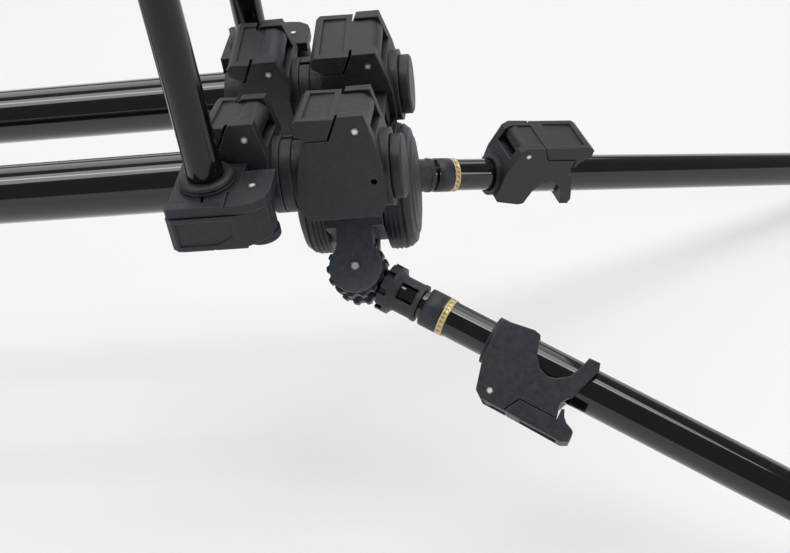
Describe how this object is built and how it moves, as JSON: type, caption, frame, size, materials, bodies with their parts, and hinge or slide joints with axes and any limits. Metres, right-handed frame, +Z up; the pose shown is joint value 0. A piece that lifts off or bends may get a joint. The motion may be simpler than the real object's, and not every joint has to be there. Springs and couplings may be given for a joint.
{
  "type": "fishing rod pod",
  "caption": "Twin-bar fishing rod pod with a lever-clamp hub at each end, angled telescopic legs with pull collars, and goal posts with threaded rod rest sockets.",
  "frame": {"origin": "on the ground, under the middle of the pod", "axes": "+X along the main bars towards the pictured end, +Y away from the camera's side, +Z up"},
  "size_m": [1.1908, 0.3652, 0.3218],
  "materials": {
    "bar_black": "gloss black anodised tube",
    "leg_black": "satin black anodised tube",
    "nylon": "fine-grained moulded nylon",
    "nylon_dark": "moulded nylon with machined teeth",
    "steel": "ground steel pin",
    "rubber": "matt rubber"
  },
  "bodies": {
    "frame": {"main_bars": "bar_black", "bar_caps": "nylon", "hub_front": "nylon", "hub_rear": "nylon", "hub_pins": "steel", "leg_pivot_pins": "steel", "t_clamps": "nylon", "t_clamp_pins": "steel"},
    "hub_lever_body_fn": {"hub_lever_fn": "nylon"},
    "bar_lever_body_fn": {"bar_lever_fn": "nylon"},
    "post_lever_body_fn": {"post_lever_fn": "nylon"},
    "hub_lever_body_ff": {"hub_lever_ff": "nylon"},
    "bar_lever_body_ff": {"bar_lever_ff": "nylon"},
    "post_lever_body_ff": {"post_lever_ff": "nylon"},
    "hub_lever_body_rn": {"hub_lever_rn": "nylon"},
    "bar_lever_body_rn": {"bar_lever_rn": "nylon"},
    "post_lever_body_rn": {"post_lever_rn": "nylon"},
    "hub_lever_body_rf": {"hub_lever_rf": "nylon"},
    "bar_lever_body_rf": {"bar_lever_rf": "nylon"},
    "post_lever_body_rf": {"post_lever_rf": "nylon"},
    "goal_post_front": {"uprights_front": "bar_black", "buzz_bar_front": "bar_black"},
    "goal_post_rear": {"uprights_rear": "bar_black", "buzz_bar_rear": "bar_black"},
    "swivel_fn": {"knuckle_fn": "nylon", "knuckle_pin_fn": "steel"},
    "leg_fn": {"leg_stem_fn": "leg_black"},
    "pull_fn": {"collar_fn": "nylon_dark"},
    "slider_fn": {"lower_leg_fn": "leg_black", "foot_fn": "rubber", "leg_clamp_fn": "nylon", "clamp_pin_fn": "steel"},
    "cam_fn": {"leg_lever_fn": "nylon"},
    "swivel_ff": {"knuckle_ff": "nylon", "knuckle_pin_ff": "steel"},
    "leg_ff": {"leg_stem_ff": "leg_black"},
    "pull_ff": {"collar_ff": "nylon_dark"},
    "slider_ff": {"lower_leg_ff": "leg_black", "foot_ff": "rubber", "leg_clamp_ff": "nylon", "clamp_pin_ff": "steel"},
    "cam_ff": {"leg_lever_ff": "nylon"},
    "swivel_rn": {"knuckle_rn": "nylon", "knuckle_pin_rn": "steel"},
    "leg_rn": {"leg_stem_rn": "leg_black"},
    "pull_rn": {"collar_rn": "nylon_dark"},
    "slider_rn": {"lower_leg_rn": "leg_black", "foot_rn": "rubber", "leg_clamp_rn": "nylon", "clamp_pin_rn": "steel"},
    "cam_rn": {"leg_lever_rn": "nylon"},
    "swivel_rf": {"knuckle_rf": "nylon", "knuckle_pin_rf": "steel"},
    "leg_rf": {"leg_stem_rf": "leg_black"},
    "pull_rf": {"collar_rf": "nylon_dark"},
    "slider_rf": {"lower_leg_rf": "leg_black", "foot_rf": "rubber", "leg_clamp_rf": "nylon", "clamp_pin_rf": "steel"},
    "cam_rf": {"leg_lever_rf": "nylon"}
  },
  "joints": [
    {"name": "hub_lever_fn", "type": "hinge", "parent": "frame", "child": "hub_lever_body_fn", "pos_m": [0.3085, -0.03076, 0.19287], "axis": [0, 0.9903, -0.1392], "range_deg": [0, 100]},
    {"name": "bar_lever_fn", "type": "hinge", "parent": "frame", "child": "bar_lever_body_fn", "pos_m": [0.2645, -0.03076, 0.19287], "axis": [0, 0.9903, -0.1392], "range_deg": [0, 100]},
    {"name": "post_lever_fn", "type": "hinge", "parent": "frame", "child": "post_lever_body_fn", "pos_m": [0.2684, -0.0646, 0.16979], "axis": [0, 0, 1], "range_deg": [0, 75]},
    {"name": "hub_lever_ff", "type": "hinge", "parent": "frame", "child": "hub_lever_body_ff", "pos_m": [0.3085, 0.03076, 0.19287], "axis": [0, 0.9903, 0.1392], "range_deg": [0, 100]},
    {"name": "bar_lever_ff", "type": "hinge", "parent": "frame", "child": "bar_lever_body_ff", "pos_m": [0.2645, 0.03076, 0.19287], "axis": [0, 0.9903, 0.1392], "range_deg": [0, 100]},
    {"name": "post_lever_ff", "type": "hinge", "parent": "frame", "child": "post_lever_body_ff", "pos_m": [0.2684, 0.0646, 0.16979], "axis": [0, 0, -1], "range_deg": [0, 75]},
    {"name": "hub_lever_rn", "type": "hinge", "parent": "frame", "child": "hub_lever_body_rn", "pos_m": [-0.3085, -0.03076, 0.19287], "axis": [0, -0.9903, 0.1392], "range_deg": [0, 100]},
    {"name": "bar_lever_rn", "type": "hinge", "parent": "frame", "child": "bar_lever_body_rn", "pos_m": [-0.2645, -0.03076, 0.19287], "axis": [0, -0.9903, 0.1392], "range_deg": [0, 100]},
    {"name": "post_lever_rn", "type": "hinge", "parent": "frame", "child": "post_lever_body_rn", "pos_m": [-0.2684, -0.0646, 0.16979], "axis": [0, 0, -1], "range_deg": [0, 75]},
    {"name": "hub_lever_rf", "type": "hinge", "parent": "frame", "child": "hub_lever_body_rf", "pos_m": [-0.3085, 0.03076, 0.19287], "axis": [0, -0.9903, -0.1392], "range_deg": [0, 100]},
    {"name": "bar_lever_rf", "type": "hinge", "parent": "frame", "child": "bar_lever_body_rf", "pos_m": [-0.2645, 0.03076, 0.19287], "axis": [0, -0.9903, -0.1392], "range_deg": [0, 100]},
    {"name": "post_lever_rf", "type": "hinge", "parent": "frame", "child": "post_lever_body_rf", "pos_m": [-0.2684, 0.0646, 0.16979], "axis": [0, 0, 1], "range_deg": [0, 75]},
    {"name": "goal_post_front", "type": "slide", "parent": "frame", "child": "goal_post_front", "axis": [0, 0, 1], "range_m": [-0.06, 0]},
    {"name": "goal_post_rear", "type": "slide", "parent": "frame", "child": "goal_post_rear", "axis": [0, 0, 1], "range_m": [-0.06, 0]},
    {"name": "leg_spread_fn", "type": "hinge", "parent": "frame", "child": "swivel_fn", "pos_m": [0.2989, -0.0147, 0.13729], "axis": [1, 0, 0], "range_deg": [0, 24]},
    {"name": "leg_pitch_fn", "type": "hinge", "parent": "swivel_fn", "child": "leg_fn", "pos_m": [0.2989, -0.03778, 0.11876], "axis": [0, 0.6259, -0.7799], "range_deg": [0, 62]},
    {"name": "collar_pull_fn", "type": "slide", "parent": "leg_fn", "child": "pull_fn", "axis": [0.859, -0.3993, -0.3205], "range_m": [0, 0.002], "stiffness_N_per_m": 400, "springref_m": -0.003},
    {"name": "leg_extend_fn", "type": "slide", "parent": "leg_fn", "child": "slider_fn", "axis": [0.859, -0.3993, -0.3205], "range_m": [0, 0.12]},
    {"name": "leg_lever_fn", "type": "hinge", "parent": "slider_fn", "child": "cam_fn", "pos_m": [0.35331, -0.0816, 0.0836], "axis": [0, 0.6259, -0.7799], "range_deg": [0, 110]},
    {"name": "leg_spread_ff", "type": "hinge", "parent": "frame", "child": "swivel_ff", "pos_m": [0.2989, 0.0147, 0.13729], "axis": [-1, 0, 0], "range_deg": [0, 24]},
    {"name": "leg_pitch_ff", "type": "hinge", "parent": "swivel_ff", "child": "leg_ff", "pos_m": [0.2989, 0.03778, 0.11876], "axis": [0, 0.6259, 0.7799], "range_deg": [0, 62]},
    {"name": "collar_pull_ff", "type": "slide", "parent": "leg_ff", "child": "pull_ff", "axis": [0.859, 0.3993, -0.3205], "range_m": [0, 0.002], "stiffness_N_per_m": 400, "springref_m": -0.003},
    {"name": "leg_extend_ff", "type": "slide", "parent": "leg_ff", "child": "slider_ff", "axis": [0.859, 0.3993, -0.3205], "range_m": [0, 0.12]},
    {"name": "leg_lever_ff", "type": "hinge", "parent": "slider_ff", "child": "cam_ff", "pos_m": [0.37114, 0.0673, 0.11357], "axis": [0.3621, -0.9163, -0.1713], "range_deg": [0, 110]},
    {"name": "leg_spread_rn", "type": "hinge", "parent": "frame", "child": "swivel_rn", "pos_m": [-0.2989, -0.0147, 0.13729], "axis": [1, 0, 0], "range_deg": [0, 24]},
    {"name": "leg_pitch_rn", "type": "hinge", "parent": "swivel_rn", "child": "leg_rn", "pos_m": [-0.2989, -0.03778, 0.11876], "axis": [0, -0.6259, 0.7799], "range_deg": [0, 62]},
    {"name": "collar_pull_rn", "type": "slide", "parent": "leg_rn", "child": "pull_rn", "axis": [-0.859, -0.3993, -0.3205], "range_m": [0, 0.002], "stiffness_N_per_m": 400, "springref_m": -0.003},
    {"name": "leg_extend_rn", "type": "slide", "parent": "leg_rn", "child": "slider_rn", "axis": [-0.859, -0.3993, -0.3205], "range_m": [0, 0.12]},
    {"name": "leg_lever_rn", "type": "hinge", "parent": "slider_rn", "child": "cam_rn", "pos_m": [-0.35331, -0.0816, 0.0836], "axis": [0, -0.6259, 0.7799], "range_deg": [0, 110]},
    {"name": "leg_spread_rf", "type": "hinge", "parent": "frame", "child": "swivel_rf", "pos_m": [-0.2989, 0.0147, 0.13729], "axis": [-1, 0, 0], "range_deg": [0, 24]},
    {"name": "leg_pitch_rf", "type": "hinge", "parent": "swivel_rf", "child": "leg_rf", "pos_m": [-0.2989, 0.03778, 0.11876], "axis": [0, -0.6259, -0.7799], "range_deg": [0, 62]},
    {"name": "collar_pull_rf", "type": "slide", "parent": "leg_rf", "child": "pull_rf", "axis": [-0.859, 0.3993, -0.3205], "range_m": [0, 0.002], "stiffness_N_per_m": 400, "springref_m": -0.003},
    {"name": "leg_extend_rf", "type": "slide", "parent": "leg_rf", "child": "slider_rf", "axis": [-0.859, 0.3993, -0.3205], "range_m": [0, 0.12]},
    {"name": "leg_lever_rf", "type": "hinge", "parent": "slider_rf", "child": "cam_rf", "pos_m": [-0.37114, 0.0673, 0.11357], "axis": [0.3621, 0.9163, 0.1713], "range_deg": [0, 110]}
  ]
}
